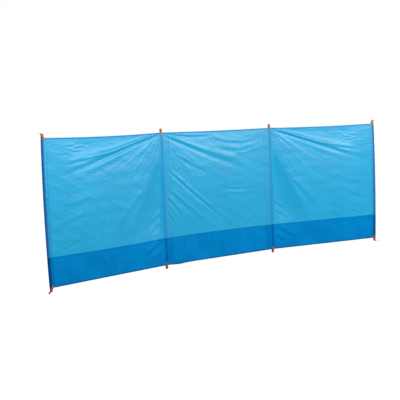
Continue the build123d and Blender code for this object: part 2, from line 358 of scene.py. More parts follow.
def facet_fold(s, z, points, slope, widths):
    """Height of one facet: level up to a crisp line, falling back beyond it and coming up again."""
    reach, width, fade = crease_field(s, z, points, widths, FACET_FADES)
    beyond = np.logaddexp(0.0, facet_edge * reach) / facet_edge
    return -slope * width * fade * beyond / (1 + np.exp(facet_return * (beyond - facet_return_at)))


def pucker(run, wave, drift):
    """Uneven gathers about 1 high along a sewn line: wave is their length, drift unsettles it."""
    return np.sin(2 * math.pi * run / wave + 2 * np.sin(run * drift))


def sewn_at(bay):
    """How far from a bay's left and right poles the far edges of their sleeves are sewn to it."""
    strip = inner_sleeve_long if bay == 1 else inner_sleeve_short
    left = end_sleeve_width if bay == 0 else strip
    right = end_sleeve_width if bay == bay_count - 1 else strip
    return left, right


def sleeve_ridges(bay, s, z):
    """Low puckered ridges where the far edges of the sleeves are sewn to a bay."""
    left, right = sewn_at(bay)
    left_line = np.exp(-(((s - left) / ridge_width) ** 2))
    right_line = np.exp(-(((bay_length - right - s) / ridge_width) ** 2))
    unevenness = 1 + ridge_unevenness * pucker(z, ridge_wave, ridge_drift)
    return ridge_height * unevenness * (left_line + right_line)


def ripple(s, z, kind, number):
    """Soft random waves of one kind; number tells its bays or poles apart."""
    height, seed, wave, turn, spread, count = kind
    dice = np.random.default_rng(seed + number)
    total = np.zeros(np.broadcast(s, z).shape)
    for _ in range(count):
        angle = turn + spread * dice.uniform(-1, 1)
        rate = 2 * math.pi / (wave * dice.uniform(0.7, 1.6))
        phase = dice.uniform(0, 2 * math.pi)
        total += np.sin(rate * (s * math.cos(angle) + z * math.sin(angle)) + phase)
    return height * (total / math.sqrt(count))


def belly(s):
    """Share of the wind's belly along a bay: 0 at its poles and 1 half-way."""
    return np.sin(math.pi * np.clip(s / bay_length, 0, 1)) ** belly_power


def level_share(rise):
    """Share of the cloth's height: 0 at its bottom edge and 1 at its top edge."""
    return np.clip(rise / (cloth_top - cloth_bottom), 0, 1)


def fan(away, z, rates, phase, far, near):
    """Fine folds that fan out of a pole's top; away is the distance from that pole."""
    angle = np.arctan2(cloth_top - z, away + fan_root)
    reach = np.hypot(cloth_top - z, away)
    waves = np.sin(rates[0] * angle) + fan_minor * np.sin(rates[1] * angle + phase)
    return fan_depth * waves * reach * smooth(-reach, -far, -near)


def end_bay_folds(s, z):
    """Folds of the first bay, most of them drawn out of the top of its right pole."""
    rise = z - cloth_bottom
    height = sum(crease_fold(s, rise, *crease, END_BAY_FADES) for crease in END_BAY_CREASES)
    height = height + sum(facet_fold(s, rise, *facet) for facet in END_BAY_FACETS)
    level = level_share(rise)
    height = height + belly_depth * belly(s) * np.sin(math.pi * level)
    return height + fan(bay_length - s, z, *END_BAY_FAN)


def middle_bay_folds(s, z):
    """Folds of the middle bay, drawn out of its left pole, with swags towards its right one."""
    rise = z - cloth_bottom
    height = sum(crease_fold(s, rise, *crease, MIDDLE_BAY_FADES) for crease in MIDDLE_BAY_CREASES)
    level = level_share(rise)
    hollow = low_hollow * np.sin(math.pi * level) * (1 - level) ** 2
    height = height + belly_depth * belly(s) * (np.sin(math.pi * level**belly_power) - hollow)
    height = height + fan(s, z, *MIDDLE_BAY_FAN)
    dip = np.exp(-(((s - corner_dip_at) / corner_dip_width) ** 2)) * (1 - smooth(z, *corner_dip_levels))
    return height + corner_dip * dip


def folds(bay, s, z):
    """How far the cloth's front stands forward of the flat bay."""
    if bay == 0:
        height = end_bay_folds(s, z)
    elif bay == 1:
        height = middle_bay_folds(s, z)
    else:
        height = end_bay_folds(bay_length - s, z + END_BAY_MIRROR_DROP * s / bay_length)
    height = height + ripple(s, z, broad_ripple, bay)
    height = height + ripple(s, z, fine_ripple, bay)
    height = height + ripple(s, z, skirt_ripple, bay) * smooth(seam_level - z, 0.0, skirt_ripple_rise)
    height = height + sleeve_ridges(bay, s, z)
    for level, wave, drift, reach in GATHERS:
        height = height + gather_height * pucker(s, wave, drift) * np.exp(-np.abs(z - level) / reach)
    held = smooth(s, 0.0, pole_hold) * smooth(bay_length - s, 0.0, pole_hold)
    inner = smooth(cloth_top - z, 0.0, top_hold) * smooth(z - cloth_bottom, 0.0, bottom_hold)
    return height * held * (edge_share + (1 - edge_share) * inner)


def skin(bay, s, z, lift):
    """Points on the cloth: lift is the distance in front of its face."""
    s, z = np.broadcast_arrays(np.asarray(s, float), np.asarray(z, float))
    out = skin_front + folds(bay, s, z) + lift
    level_spot = pole_spots[bay] + s[..., None] * bay_ways[bay] + out[..., None] * bay_fronts[bay]
    return level_spot + z[..., None] * up


def sag_share(s):
    """Share of a sag at a distance along a bay: 0 at its poles and 1 half-way."""
    share = np.clip(s / bay_length, 0, 1)
    return 4 * share * (1 - share)


def top_edge(bay, s):
    """Level of the cloth's top edge, which sags between the poles."""
    return cloth_top - top_sags[bay] * sag_share(s)


def seam_edge(bay, s):
    """Level of the seam between the light cloth and the dark."""
    return seam_level - seam_sags[bay] * sag_share(s)


def bottom_edge(bay, s):
    """Level of the bottom edge, with its small dip beside the second pole."""
    level = np.full(np.shape(s), cloth_bottom)
    if bay == 1:
        level = level - foot_dip * np.exp(-(((s - foot_dip_at) / foot_dip_width) ** 2))
    return level


def left_side(bay, z):
    """Distance along the bay of the cloth's left edge: a bowed seam, or the mitre over a pole."""
    if bay == 0:
        return bow_at(z, end_sleeve_width)
    return np.full(np.shape(z), skin_front * half_turn_slope)


def right_side(bay, z):
    """Distance along the bay of the cloth's right edge."""
    if bay == bay_count - 1:
        return bay_length - bow_at(z, end_sleeve_width)
    return np.full(np.shape(z), bay_length - skin_front * half_turn_slope)


def painted_light_and_shade(bay, s, z):
    """Painted shade over the inner poles behind a bay's cloth, less painted light over their strips."""
    shade = 0.0 * (s + z)
    left_reach, right_reach = sewn_at(bay)
    for inset, reach, pole in ((s, left_reach, bay), (bay_length - s, right_reach, bay + 1)):
        if pole in inner_poles:
            # Painted shade along the inner pole, less painted light over its strip
            strip = 1 - smooth(inset, reach - strip_fade[0], reach + strip_fade[1])
            shade = shade + inner_pole_painted_shade * np.exp(-((inset / pole_line) ** 2)) - strip_painted_light * strip
    return shade


def painted_hem_shade(bay, s, z):
    """Painted shade where an end sleeve's cloth lies double at its top and its bottom."""
    top = smooth(z - top_edge(bay, s) + hem_height, -hem_blur, hem_blur)
    bottom = smooth(bottom_edge(bay, s) + hem_height - z, -hem_blur, hem_blur)
    return hem_painted_shade * (top + bottom)


# Meshes
def add_object(name, data):
    """A new object in the scene."""
    thing = bpy.data.objects.new(name, data)
    bpy.context.scene.collection.objects.link(thing)
    return thing


def mesh_piece(name, points, faces, uvs=None, shade=None):
    """A smooth-shaded mesh object from points and faces, with a UV pair and a painted light and shade
    value for each point.
    """
    mesh = bpy.data.meshes.new(name)
    mesh.from_pydata([tuple(p) for p in points], [], faces)
    mesh.polygons.foreach_set("use_smooth", [True] * len(mesh.polygons))
    if uvs is not None:
        layer = mesh.uv_layers.new(name="cloth")
        loops = np.zeros(len(mesh.loops), int)
        mesh.loops.foreach_get("vertex_index", loops)
        layer.data.foreach_set("uv", np.asarray(uvs, float)[loops].ravel())
    if shade is not None:
        layer = mesh.attributes.new("painted_light_and_shade", "FLOAT", "POINT")
        layer.data.foreach_set("value", np.asarray(shade, float).ravel())
    return add_object(name, mesh)


def grid_faces(rows, columns, wrap=False):
    """Quads of a grid of points, its columns closed into a ring if wrap is set."""
    last = columns if wrap else columns - 1
    faces = []
    for row in range(rows - 1):
        for column in range(last):
            a = row * columns + column
            b = row * columns + (column + 1) % columns
            faces.append((a, b, b + columns, a + columns))
    return faces


def grid_piece(name, points, across, upward, shade=None):
    """A sheet from a grid of points, with their places across and up the flat cloth."""
    rows, columns = points.shape[:2]
    uvs = np.stack(np.broadcast_arrays(across, upward), -1).reshape(-1, 2)
    return mesh_piece(name, points.reshape(-1, 3), grid_faces(rows, columns), uvs, shade)


def run_along(points):
    """Distance along a line at each of its points."""
    return np.concatenate([[0], np.cumsum(np.linalg.norm(np.diff(points, axis=0), axis=1))])


def cloth_grid(name, bay, low_edge, high_edge, lift):
    """Sheet of one bay's cloth between two edges that are given as levels along it."""
    columns = int(bay_length / cloth_step)
    rows = max(4, int((high_edge(bay, 0.0) - low_edge(bay, 0.0)) / cloth_step))
    across, upward = np.meshgrid(np.linspace(0, 1, columns), np.linspace(0, 1, rows))
    flat_z = low_edge(bay, 0.0) + upward * (high_edge(bay, 0.0) - low_edge(bay, 0.0))
    left, right = left_side(bay, flat_z), right_side(bay, flat_z)
    s = left + across * (right - left)
    low, high = low_edge(bay, s), high_edge(bay, s)
    z = low + upward * (high - low)
    return grid_piece(name, skin(bay, s, z, lift), s, z, painted_light_and_shade(bay, s, z))


def edge_ribbon(name, bay, edge, section, inset):
    """Folded strip along an edge: section lists (lift, distance up from the edge), inset its ends."""
    columns = int(bay_length / ribbon_step)
    level = float(edge(bay, 0.0))
    left = float(left_side(bay, np.array(level))) + inset[0]
    right = float(right_side(bay, np.array(level))) - inset[1]
    s = np.linspace(left, right, columns)[None, :]
    lift = np.array([point[0] for point in section])[:, None]
    rise = np.array([point[1] for point in section])[:, None]
    z = edge(bay, s) + rise
    run = run_along(np.array(section))[:, None]
    return grid_piece(name, skin(bay, s, z, lift), s, level + run, painted_light_and_shade(bay, s, z))


def hem_section(sign):
    """Cross-section of a hem: up the front, over the edge's roll, down behind and tucked under."""
    end = -sign * hem_height
    face = [(-layer_gap / 2, end), (hem_lift, end + sign * hem_step), (hem_lift, end * 0.5)]
    roll = [
        (-hem_roll + (hem_roll + hem_lift) * math.cos(turn), sign * hem_roll * (math.sin(turn) - 1))
        for turn in np.linspace(0, math.pi, roll_points)
    ]
    tuck = [(-2 * hem_roll, end * 0.5), (-2 * hem_roll, end), (-1.6 * hem_roll, end - sign * hem_tuck)]
    return face + roll + tuck + [(-1.2 * hem_roll, end), (-1.1 * hem_roll, end * 0.6)]


pieces_by_node = {}


def stands_for(piece, node):
    """Puts a piece on the body in the place of a CAD node."""
    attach(piece, "root")
    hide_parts(node)
    pieces_by_node[node] = piece
    return piece


def rolled_top(bay, s):
    """Level at which the cloth's face turns over into the top hem."""
    return top_edge(bay, s) - hem_roll


def rolled_bottom(bay, s):
    """Level at which the cloth's face turns over into the bottom hem."""
    return bottom_edge(bay, s) + hem_roll


def lapped_seam(bay, s):
    """Bottom of the light cloth, behind the top of the dark."""
    return seam_edge(bay, s) - seam_lap


# Panels, skirts and hems
for bay in range(bay_count):
    number = bay + 1
    panel = cloth_grid(f"panel_cloth_{number}", bay, lapped_seam, rolled_top, -layer_gap / 2)
    stands_for(panel, f"panel_{number}")
    skirt = cloth_grid(f"skirt_cloth_{number}", bay, rolled_bottom, seam_edge, 0.0)
    stands_for(skirt, f"skirt_{number}")
    inset = (end_sleeve_lap if bay == 0 else 0.0, end_sleeve_lap if bay == bay_count - 1 else 0.0)
    top_hem = edge_ribbon(f"top_hem_fold_{number}", bay, top_edge, hem_section(1), inset)
    stands_for(top_hem, f"top_hem_{number}")
    bottom_hem = edge_ribbon(f"bottom_hem_fold_{number}", bay, bottom_edge, hem_section(-1), inset)
    stands_for(bottom_hem, f"bottom_hem_{number}")


def end_pole(number):
    """Spot, way into the bay and way back of an end pole."""
    if number == 0:
        return pole_spots[0], bay_ways[0], -bay_fronts[0]
    return pole_spots[-1], -bay_ways[-1], -bay_fronts[-1]


def end_sleeve_painted_light_and_shade(bay, insets, s, z, is_front):
    """Painted light and shade of an end sleeve: painted shade in its band over the pole, less a painted
    highlight beside it, and painted shade at its hems.
    """
    band_end = end_band_ends[bay > 0] - end_band_narrowing * smooth(z, *edge_light_levels)
    painted_pole_shade = end_band_share * (1 - smooth(insets, end_band_starts[bay > 0], band_end))
    painted_pole_shade = painted_pole_shade + (1 - end_band_share) * (1 - smooth(insets, *end_core))
    painted_highlight = edge_light * np.exp(-(((insets - edge_light_at) / edge_light_width) ** 2))
    painted_highlight = painted_highlight * smooth(z, *edge_light_levels) * is_front
    return np.clip(painted_pole_shade - painted_highlight + painted_hem_shade(bay, s, z), -1, 1)


def end_sleeve(number):
    """Cloth folded round an end pole: front leg, turn round the pole, and slanting back leg."""
    bay = 0 if number == 0 else bay_count - 1
    spot, inward, back = end_pole(number)
    front_run = np.linspace(end_sleeve_width + front_leg_lap, 0.0, front_points)
    turns = np.linspace(0, math.pi, turn_points)[1:]
    back_run = np.linspace(0.0, end_sleeve_width, back_points)[1:]
    lap_run = np.linspace(end_sleeve_width, end_sleeve_width + end_sleeve_lap, lap_points)[1:]
    insets = np.concatenate([front_run, -sleeve_wrap * np.sin(turns), back_run, lap_run])
    levels = int((cloth_top - cloth_bottom) / cloth_step)
    share = np.linspace(0, 1, levels)[:, None]
    cut_share = np.clip((corner_cut_width - insets) / corner_cut_width, 0, corner_cut_most)
    corner = cloth_top - corner_cut_height * cut_share
    z = cloth_bottom + share * (corner - cloth_bottom)
    into_bay = bow_at(z, insets)
    s = np.clip(into_bay if number == 0 else bay_length - into_bay, 0, bay_length)
    face = skin_front + folds(bay, s, z)
    front_end = len(front_run)
    turn_end = front_end + len(turns)
    back_end = turn_end + len(back_run)
    depth = np.empty(z.shape)
    ease = smooth(front_run, 0.0, front_leg_ease)
    depth[:, :front_end] = -(sleeve_wrap + ease * (face[:, :front_end] - sleeve_wrap))
    depth[:, front_end:turn_end] = -sleeve_wrap * np.cos(turns)
    to_seam = smooth(back_run, 0.0, end_sleeve_width) * 0.5 + 0.5 * back_run / end_sleeve_width
    behind = -(face - 2 * layer_gap)
    leg = behind[:, turn_end:back_end]
    depth[:, turn_end:back_end] = sleeve_wrap + to_seam * (leg - sleeve_wrap)
    depth[:, back_end:] = behind[:, back_end:]
    slack = np.sin(math.pi * np.clip(insets / end_sleeve_width, 0, 1))
    depth = depth + ripple(insets + 0 * z, z, end_sleeve_ripple, bay) * slack
    points = spot + into_bay[..., None] * inward + depth[..., None] * back + z[..., None] * up
    run = run_along(np.stack([insets, depth[levels // 2]], -1))
    # Painted shade over the end pole and the hems, painted highlight beside the pole
    shade = end_sleeve_painted_light_and_shade(bay, insets, s, z, np.arange(len(insets)) < front_end)
    return grid_piece(f"sleeve_cloth_{number + 1}", points, run, z, shade), float(run[-1])


def pole_frame(number):
    """Spot of a pole, and the ways across and back that halve the turn of the bays beside it."""
    ways = [bay_ways[bay] for bay in (number - 1, number) if 0 <= bay < bay_count]
    mean = unit(sum(ways))
    return pole_spots[number], mean, np.array([-mean[1], mean[0], 0.0])


def inner_sleeve(number):
    """Strip behind the cloth that arches over an inner pole."""
    spot, mean, mean_back = pole_frame(number)
    left_reach, right_reach = sewn_at(number - 1)[1], sewn_at(number)[0]
    low = cloth_bottom + hem_height + mouth_margin
    high = cloth_top - hem_height - mouth_margin
    z = np.linspace(low, high, int((high - low) / cloth_step))[:, None]
    left_columns = max(4, int(left_reach / ribbon_step))
    right_columns = max(4, int(right_reach / ribbon_step))
    left_s = np.linspace(bay_length - left_reach, bay_length - inner_sleeve_root, left_columns)[None, :]
    right_s = np.linspace(inner_sleeve_root, right_reach, right_columns)[None, :]
    left_flange = skin(number - 1, left_s, z, -strip_drop)
    right_flange = skin(number, right_s, z, -strip_drop)
    turns = np.linspace(-arch_overrun, math.pi + arch_overrun, arch_points)[None, :]
    radius = sleeve_wrap + arch_gap + ripple(turns * arch_ripple_radius, z, inner_sleeve_ripple, number)
    arch = spot - np.cos(turns)[..., None] * radius[..., None] * mean
    arch = arch + np.sin(turns)[..., None] * radius[..., None] * mean_back + z[..., None] * up
    points = np.concatenate([left_flange, arch, right_flange], 1)
    run = run_along(points[0])
    return grid_piece(f"sleeve_cloth_{number + 1}", points, run, z), float(run[-1])


# Sleeves
sleeve_widths = {}
for poles, make_sleeve in ((end_poles, end_sleeve), (inner_poles, inner_sleeve)):
    for number in poles:
        node = f"sleeve_{number + 1}"
        sleeve, sleeve_widths[node] = make_sleeve(number)
        stands_for(sleeve, node)


# Webbing
def rounded_path(corners, radius, step):
    """Evenly spaced points along a polyline whose corners are rounded."""
    corners = [np.array(corner, float) for corner in corners]
    dense = [corners[0]]
    for before, corner, after in zip(corners, corners[1:], corners[2:]):
        way_in, way_out = unit(corner - before), unit(after - corner)
        half = math.acos(float(np.clip(way_in @ way_out, -1, 1))) / 2
        middle, chord = unit(way_out - way_in), unit(way_in + way_out)
        centre = corner + middle * radius / math.cos(half)
        for turn in np.linspace(-half, half, corner_points):
            dense.append(centre - middle * radius * math.cos(turn) + chord * radius * math.sin(turn))
    dense.append(corners[-1])
    dense = np.array(dense)
    run = run_along(dense)
    places = np.linspace(0, run[-1], int(run[-1] / step))
    return np.stack([np.interp(places, run, dense[:, axis]) for axis in range(dense.shape[1])], -1)


def strap_section():
    """Cross-section of webbing: (share of its half width, through), with ribs and thick selvedges."""
    across = np.linspace(-1, 1, section_points)
    swell = 1 - strap_selvedge + strap_selvedge * np.abs(across) ** 6
    body = strap_thickness / 2 * swell * np.sqrt(np.clip(1.0 - np.abs(across) ** 40, 0.1, 1))
    face = body + strap_rib_height * np.cos(across * math.pi * strap_rib_count)
    outer = np.stack([across, face], -1)
    return np.concatenate([outer, outer[::-1] * (1, -1)])


def swept_strap(name, path, normals, across, shift, half_widths, bend_slope=0.0):
    """Webbing along a path of middle points: shift moves it across, bend_slope folds it back."""
    section = strap_section()
    sides = section[:, 0] * half_widths[:, None] + shift[:, None]
    through = section[:, 1][None, :]
    bend = bend_slope * np.sqrt((sides - shift[:, None]) ** 2 + bend_ease**2)
    points = path[:, None, :] + sides[..., None] * across + through[..., None] * normals[:, None, :]
    points = points + bend[..., None] * np.cross(across, up)
    uvs = np.stack(np.broadcast_arrays(sides, run_along(path)[:, None]), -1)
    rows, columns = points.shape[:2]
    last = (rows - 1) * columns
    caps = [tuple(range(columns))[::-1], tuple(range(last, last + columns))]
    faces = grid_faces(rows, columns, True) + caps
    return mesh_piece(name, points.reshape(-1, 3), faces, uvs.reshape(-1, 2))


def cut_hole(piece, centre):
    """Bores the upright hole of an eyelet through a piece."""
    turns = np.linspace(0, 2 * math.pi, hole_sides + 1)[:-1]
    ring = np.stack([np.cos(turns), np.sin(turns), 0 * turns], -1) * hole_radius
    points = np.concatenate([ring - up * drill_height / 2, ring + up * drill_height / 2]) + centre
    caps = [tuple(range(hole_sides))[::-1], tuple(range(hole_sides, 2 * hole_sides))]
    faces = grid_faces(2, hole_sides, True) + caps
    drill = mesh_piece("drill", points, faces, np.zeros((2 * hole_sides, 2)))
    bore = piece.modifiers.new("bore", "BOOLEAN")
    bore.operation = "DIFFERENCE"
    bore.object = drill
    bore.solver = "EXACT"
    bored = piece.evaluated_get(bpy.context.evaluated_depsgraph_get())
    piece.data = bpy.data.meshes.new_from_object(bored)
    piece.modifiers.clear()
    bpy.data.objects.remove(drill)


def tab_path(is_top):
    """Middle line of a tab's webbing as (back, up) points, from the front leg's tip to the back's."""
    front = -skin_front - strap_thickness / 2
    back = strap_back + strap_thickness / 2
    if is_top:
        crown = overall_height - pin_reach - strap_thickness / 2
        end = cloth_top - tab_sewn - tab_point
    else:
        crown = pin_reach + strap_thickness / 2
        end = cloth_bottom + tab_sewn + tab_point
    corners = [(front, end), (front, crown), (back, crown), (back, end)]
    return rounded_path(corners, strap_bend + strap_thickness / 2, strap_step)


def bend_of(number):
    """Slope with which a tab bends back over a pole between two bays."""
    return half_turn_slope if number in inner_poles else 0.0


def tab_shift(number, is_top, level):
    """How far a tab leans into its bay at a level: only those of the end poles do."""
    if number in inner_poles:
        return 0.0 * level
    reach = overall_height - cloth_top if is_top else cloth_bottom
    lean = tab_lean if number == 0 else -tab_lean
    return lean / reach * np.abs(level - (overall_height if is_top else 0.0))


def path_normals(flat, side_way):
    """Ways square to a path that is given as points along side_way and up."""
    steps = np.gradient(flat, axis=0)
    steps /= np.linalg.norm(steps, axis=1)[:, None]
    return steps[:, 1:] * side_way - steps[:, :1] * up


def tab(number, is_top):
    """One tab over a pole's end: both sewn legs and the crown, holed for its eyelet."""
    spot, mean, mean_back = pole_frame(number)
    flat = tab_path(is_top)
    path = spot + flat[:, :1] * mean_back + flat[:, 1:] * up
    sign = -1 if is_top else 1
    normals = sign * path_normals(flat, mean_back)
    shift = tab_shift(number, is_top, flat[:, 1])
    from_tip = np.abs(flat[:, 1] - flat[0, 1])
    widening = np.clip(tab_tip_share + (1 - tab_tip_share) * from_tip / tab_point, 0, 1)
    name = f"{'top' if is_top else 'bottom'}_strap_{number + 1}"
    piece = swept_strap(name, path, normals, mean, shift, strap_width / 2 * widening, bend_of(number))
    crown = overall_height - pin_reach if is_top else pin_reach
    cut_hole(piece, spot + up * crown)
    return piece


def tail(number):
    """The webbing that leaves an end foot's crown and loops round the bar of its ring."""
    spot, inward, back = end_pole(number)
    out = -inward * math.cos(tail_swing) - back * math.sin(tail_swing)
    thickness = strap_thickness - tail_gap
    loop_radius = math.hypot(ring_width, ring_plate) / 2 + ring_fit + thickness / 2
    centre = loop_radius + thickness / 2
    start = pin_reach + thickness / 2 + tail_gap
    hump = [(run, start + rise) for run, rise in tail_hump] + [(tail_run, centre + loop_radius)]
    drop = rounded_path(hump, tail_bend, tail_step)
    turns = np.linspace(math.pi / 2, loop_end, loop_points)[1:]
    loop = np.stack([tail_run + loop_radius * np.cos(turns), centre + loop_radius * np.sin(turns)], -1)
    flat = np.concatenate([drop, loop])
    path = spot + flat[:, :1] * out + flat[:, 1:] * up
    normals = -path_normals(flat, out)
    half_widths = np.full(len(flat), tail_width / 2)
    across = np.cross(out, up)
    return swept_strap(f"tail_strap_{number + 1}", path, normals, across, 0 * half_widths, half_widths)


# Tabs and tails
for number in range(pole_count):
    stands_for(tab(number, True), f"top_tab_{number + 1}")
    stands_for(tab(number, False), f"bottom_tab_{number + 1}")
tails = [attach(tail(number), "root") for number in end_poles]


# Thread: short stitches laid along sewn lines, on both faces
def stitch_line(points, outward, pitch=stitch_pitch, length=stitch_length):
    """Starts, ends and outward ways of the stitches along a line of points."""
    run = run_along(points)
    starts = np.arange(first_stitch, run[-1] - pitch, pitch)
    first = np.stack([np.interp(starts, run, points[:, axis]) for axis in range(3)], -1)
    last = np.stack([np.interp(starts + length, run, points[:, axis]) for axis in range(3)], -1)
    return first, last, np.broadcast_to(outward, first.shape)


def thread_piece(name, lines):
    """One piece made of all the stitches of several lines."""
    first, last, outward = (np.concatenate(parts) for parts in zip(*lines))
    way = last - first
    side = np.cross(way, outward)
    side *= stitch_width / 2 / np.linalg.norm(side, axis=1)[:, None]
    ridge = outward * stitch_height
    corners = [first - side, first + side, last + side, last - side]
    crests = [first + way * stitch_shoulder + ridge, last - way * stitch_shoulder + ridge]
    points = np.stack(corners + crests, 1).reshape(-1, 3)
    base = np.arange(len(first)) * 6
    faces = []
    for corner in base.tolist():
        a, b, c, d, e, f = range(corner, corner + 6)
        faces += [(b, a, e), (a, d, f, e), (d, c, f), (c, b, e, f)]
    piece = mesh_piece(name, points, faces, points[:, [0, 2]])
    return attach(piece, "root")


def both_faces(bay, s, z, front, back):
    """Stitches along a line on a bay's cloth, at one lift on its front and another on its back."""
    return [
        stitch_line(skin(bay, s, z, front), bay_fronts[bay]),
        stitch_line(skin(bay, s, z, back), -bay_fronts[bay]),
    ]


def level_lines(bay, edge, rise, front, back):
    """Stitches along a bay at a height above one of its edges."""
    level = np.array(float(edge(bay, 0.0)) + rise)
    s = np.linspace(float(left_side(bay, level)), float(right_side(bay, level)), level_points)
    return both_faces(bay, s, edge(bay, s) + rise, front, back)


def bay_lines(bay):
    """All the level stitching of one bay."""
    behind_hem = -2 * hem_roll - thread_gap
    lines = level_lines(bay, top_edge, -hem_row, hem_lift, behind_hem)
    lines += level_lines(bay, bottom_edge, hem_row, hem_lift, behind_hem)
    for row in seam_rows:
        lines += level_lines(bay, seam_edge, -row, 0.0, -layer_gap / 2 - thread_gap)
    return lines


def end_sleeve_lines(number):
    """The upright stitching of an end pole's sleeve."""
    lines = []
    z = np.linspace(cloth_bottom + sleeve_row_margin, cloth_top - sleeve_row_margin, upright_points)
    far_edge = end_sleeve_width + end_sleeve_lap
    for inset in (end_sleeve_width + sleeve_row_inset, far_edge - sleeve_row_inset):
        into_bay = bow_at(z, inset)
        bay, s = (0, into_bay) if number == 0 else (bay_count - 1, bay_length - into_bay)
        lines += both_faces(bay, s, z, 0.0, -2 * layer_gap - thread_gap)
    return lines


def inner_sleeve_lines(number):
    """The upright stitching of an inner pole's strip."""
    lines = []
    margin = hem_height + mouth_margin
    z = np.linspace(cloth_bottom + margin, cloth_top - margin, upright_points)
    left_reach, right_reach = sewn_at(number - 1)[1], sewn_at(number)[0]
    left_rows = (bay_length - left_reach + sleeve_row_inset, bay_length - pole_row)
    right_rows = (pole_row, right_reach - sleeve_row_inset)
    for bay, rows in ((number - 1, left_rows), (number, right_rows)):
        for row in rows:
            lines += both_faces(bay, np.full(z.shape, row), z, 0.0, -strip_drop - thread_gap)
    return lines


def box_lines(number, is_top):
    """The stitched box and cross that hold both legs of a tab."""
    spot, mean, mean_back = pole_frame(number)
    sign, edge = (-1, cloth_top) if is_top else (1, cloth_bottom)
    near, far = edge + sign * box_edge, edge + sign * (tab_sewn - box_edge)
    corners = [(-box_reach, near), (box_reach, near), (box_reach, far), (-box_reach, far)]
    sides = list(zip(corners, corners[1:] + corners[:1])) + [corners[0::2], corners[1::2]]
    lines = []
    for (across_a, level_a), (across_b, level_b) in sides:
        across = np.linspace(across_a, across_b, box_points)
        level = np.linspace(level_a, level_b, box_points)
        bend = bend_of(number) * np.sqrt(across**2 + bend_ease**2)
        along = across + tab_shift(number, is_top, level)
        middle = spot + along[:, None] * mean - bend[:, None] * mean_back + level[:, None] * up
        for way, depth in ((-1, skin_front + strap_thickness), (1, strap_back + strap_thickness)):
            face = middle + way * depth * mean_back
            lines.append(stitch_line(face, way * mean_back, box_pitch, box_length))
    return lines


threads = []
for bay in range(bay_count):
    threads.append(thread_piece(f"thread_bay_{bay + 1}", bay_lines(bay)))
for number in range(pole_count):
    sleeve_lines = inner_sleeve_lines if number in inner_poles else end_sleeve_lines
    threads.append(thread_piece(f"thread_sleeve_{number + 1}", sleeve_lines(number)))
tab_lines = []
for number in range(pole_count):
    tab_lines += box_lines(number, True) + box_lines(number, False)
tab_thread = thread_piece("thread_tabs", tab_lines)

# Loops over the bays and the sleeves' node names, which keep nothing
for bay in range(bay_count):
    number = bay + 1
for number in range(1, pole_count + 1):
    node = f"sleeve_{number}"


# Materials
def new_material(name):
    """A new node material, its tree and its principled shader."""
    material = bpy.data.materials.new(name)
    material.use_nodes = True
    tree = material.node_tree
    return material, tree, tree.nodes["Principled BSDF"]


def connect(tree, node, inputs):
    """Gives inputs of a node their values, or links them to the sockets that are given."""
    for key, value in inputs.items():
        if isinstance(value, bpy.types.NodeSocket):
            tree.links.new(value, node.inputs[key])
        else:
            node.inputs[key].default_value = value


def add_node(tree, kind, inputs, **settings):
    """One shader node with its settings and its inputs."""
    node = tree.nodes.new(kind)
    for key, value in settings.items():
        setattr(node, key, value)
    connect(tree, node, inputs)
    return node


def cloth_place(tree):
    """Place on the cloth or the webbing, in metres."""
    return add_node(tree, "ShaderNodeUVMap", {}, uv_map="cloth").outputs[0]


def stretched(tree, place, scales):
    """A place's coordinates, each times its scale."""
    return add_node(tree, "ShaderNodeMapping", {"Vector": place, "Scale": scales}).outputs[0]


def noise(tree, place, scale, detail):
    """Level of a noise at a place."""
    inputs = {"Vector": place, "Scale": scale, "Detail": detail}
    return add_node(tree, "ShaderNodeTexNoise", inputs).outputs["Fac"]


def waves(tree, place, direction, scale, distortion):
    """Level of parallel waves at a place."""
    inputs = {"Vector": place, "Scale": scale, "Distortion": distortion}
    return add_node(tree, "ShaderNodeTexWave", inputs, bands_direction=direction).outputs["Fac"]


def calculated(tree, operation, first, second):
    """Result of an operation on a socket and on a second one or a number."""
    return add_node(tree, "ShaderNodeMath", {0: first, 1: second}, operation=operation).outputs[0]


def ranged(tree, factor, low, high):
    """A factor from 0 to 1 moved into the range from low to high."""
    inputs = {"Value": factor, "To Min": low, "To Max": high}
    return add_node(tree, "ShaderNodeMapRange", inputs).outputs[0]


def two_colours(tree, factor, dark, light, ends=(0.0, 1.0)):
    """Colour that goes from dark to light while a factor goes from one end to the other."""
    node = add_node(tree, "ShaderNodeValToRGB", {0: factor})
    for element, end, colour in zip(node.color_ramp.elements, ends, (dark, light)):
        element.position = end
        element.color = (*colour, 1)
    return node.outputs["Color"]


def tinted(tree, factor, base, colour):
    """A base colour moved towards a fixed one by a factor."""
    inputs = {0: factor, 6: base, 7: (*colour, 1)}
    return add_node(tree, "ShaderNodeMix", inputs, data_type="RGBA").outputs[2]


def bumped(tree, height, strength, distance):
    """Normal of a fine relief."""
    inputs = {"Height": height, "Strength": strength, "Distance": distance}
    return add_node(tree, "ShaderNodeBump", inputs).outputs["Normal"]


